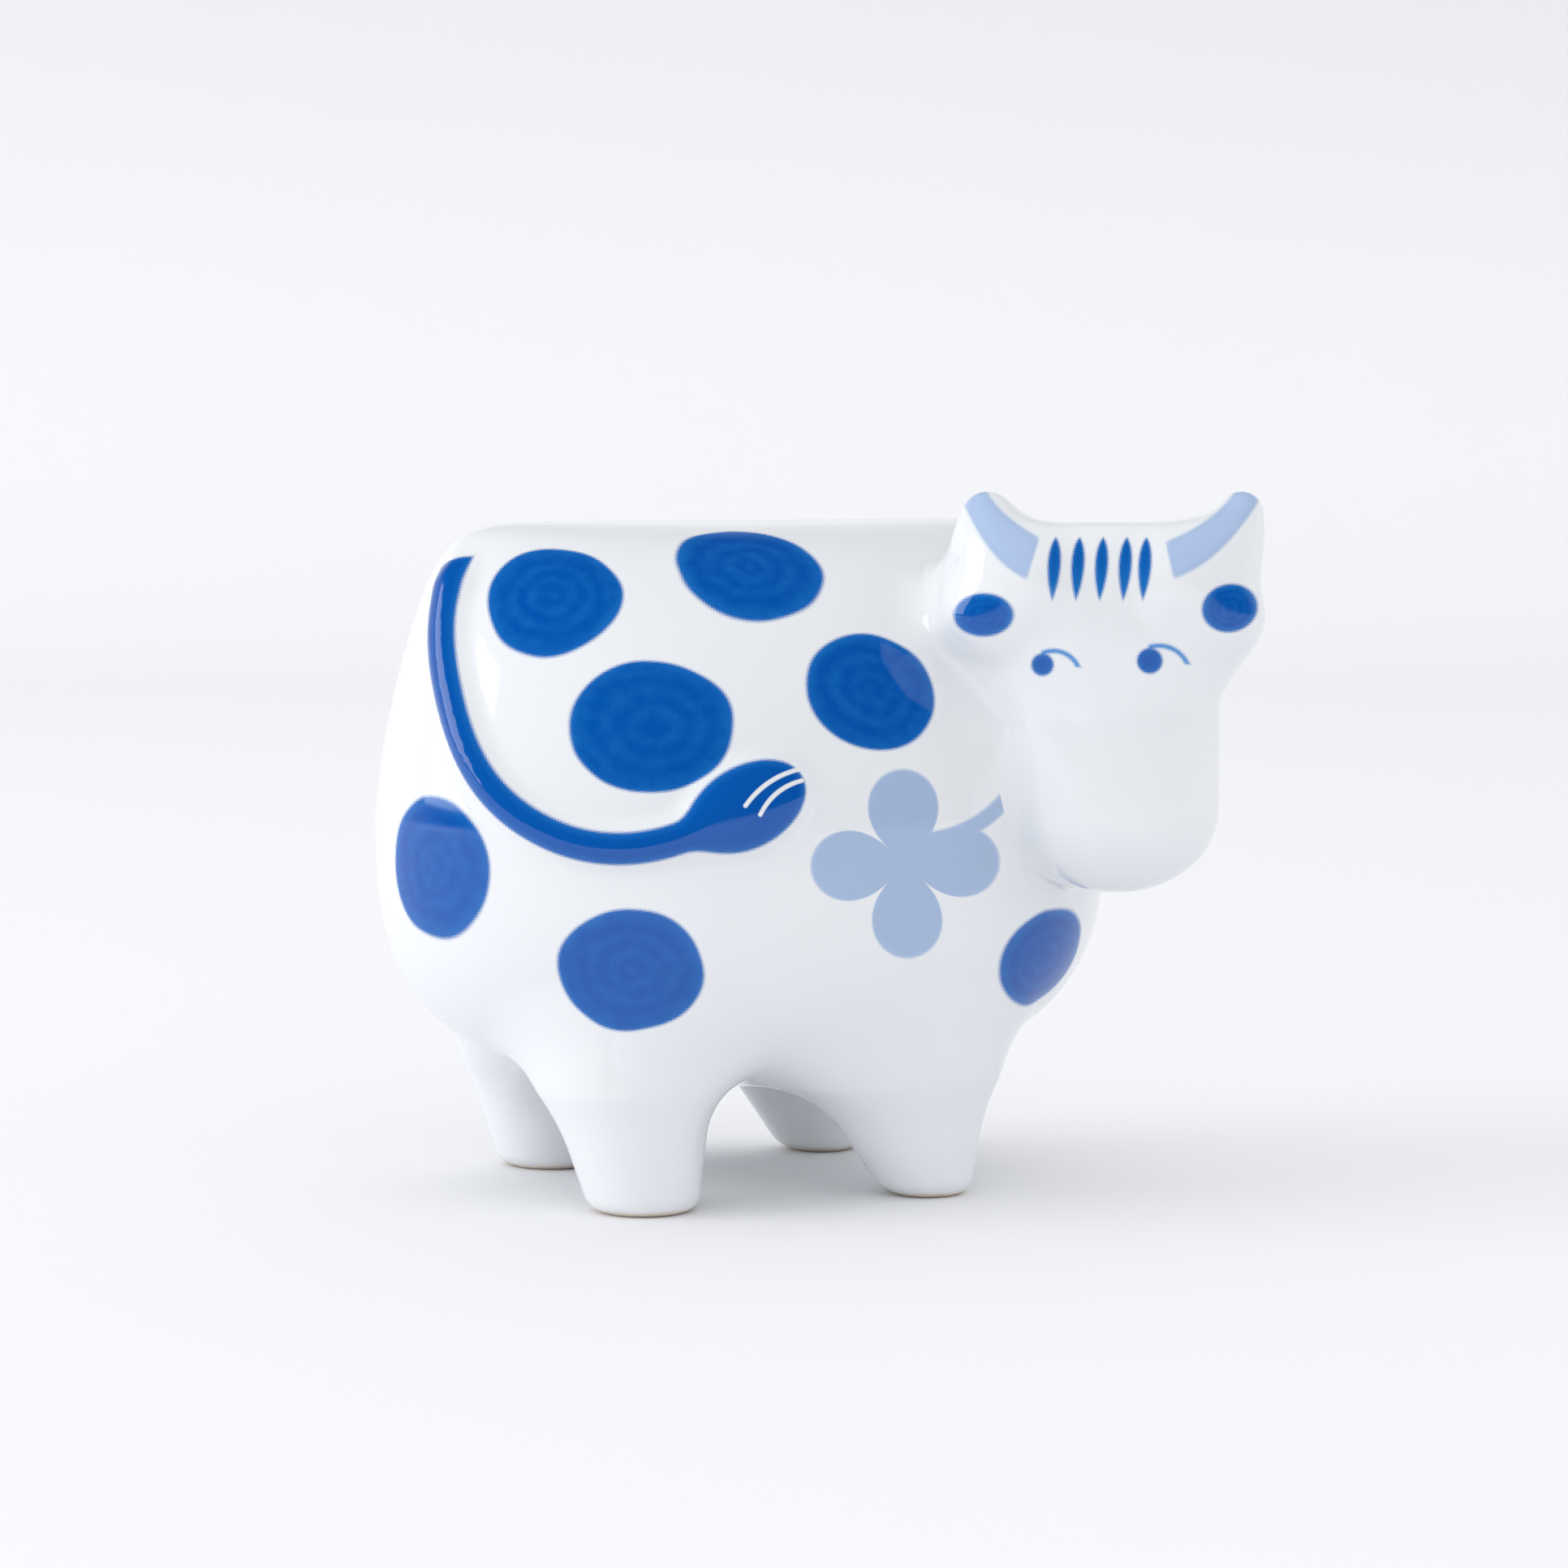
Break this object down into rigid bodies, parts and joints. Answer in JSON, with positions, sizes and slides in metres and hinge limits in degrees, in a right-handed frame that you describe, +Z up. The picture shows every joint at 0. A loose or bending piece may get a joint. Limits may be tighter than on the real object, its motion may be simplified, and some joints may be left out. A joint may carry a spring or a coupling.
{
  "type": "cow figurine",
  "caption": "Standing white porcelain cow ornament with a plump egg-shaped body, short legs, head turned to its right, horns, ears and a tail in relief, with blue spots.",
  "frame": {"origin": "centre of the overall box on the plane of the soles", "axes": "+X the way the body heads, +Y the cow's left flank, +Z up; the head is turned to -Y"},
  "size_m": [0.059, 0.0474, 0.0509],
  "materials": {
    "glaze": "clear gloss glaze over white porcelain, with blue in-glaze prints"
  },
  "bodies": {
    "root": {"torso": "glaze", "head": "glaze", "horn_left": "glaze", "horn_right": "glaze", "ear_left": "glaze", "ear_right": "glaze", "leg_front_left": "glaze", "leg_front_right": "glaze", "leg_rear_left": "glaze", "leg_rear_right": "glaze", "tail": "glaze"}
  },
  "joints": []
}
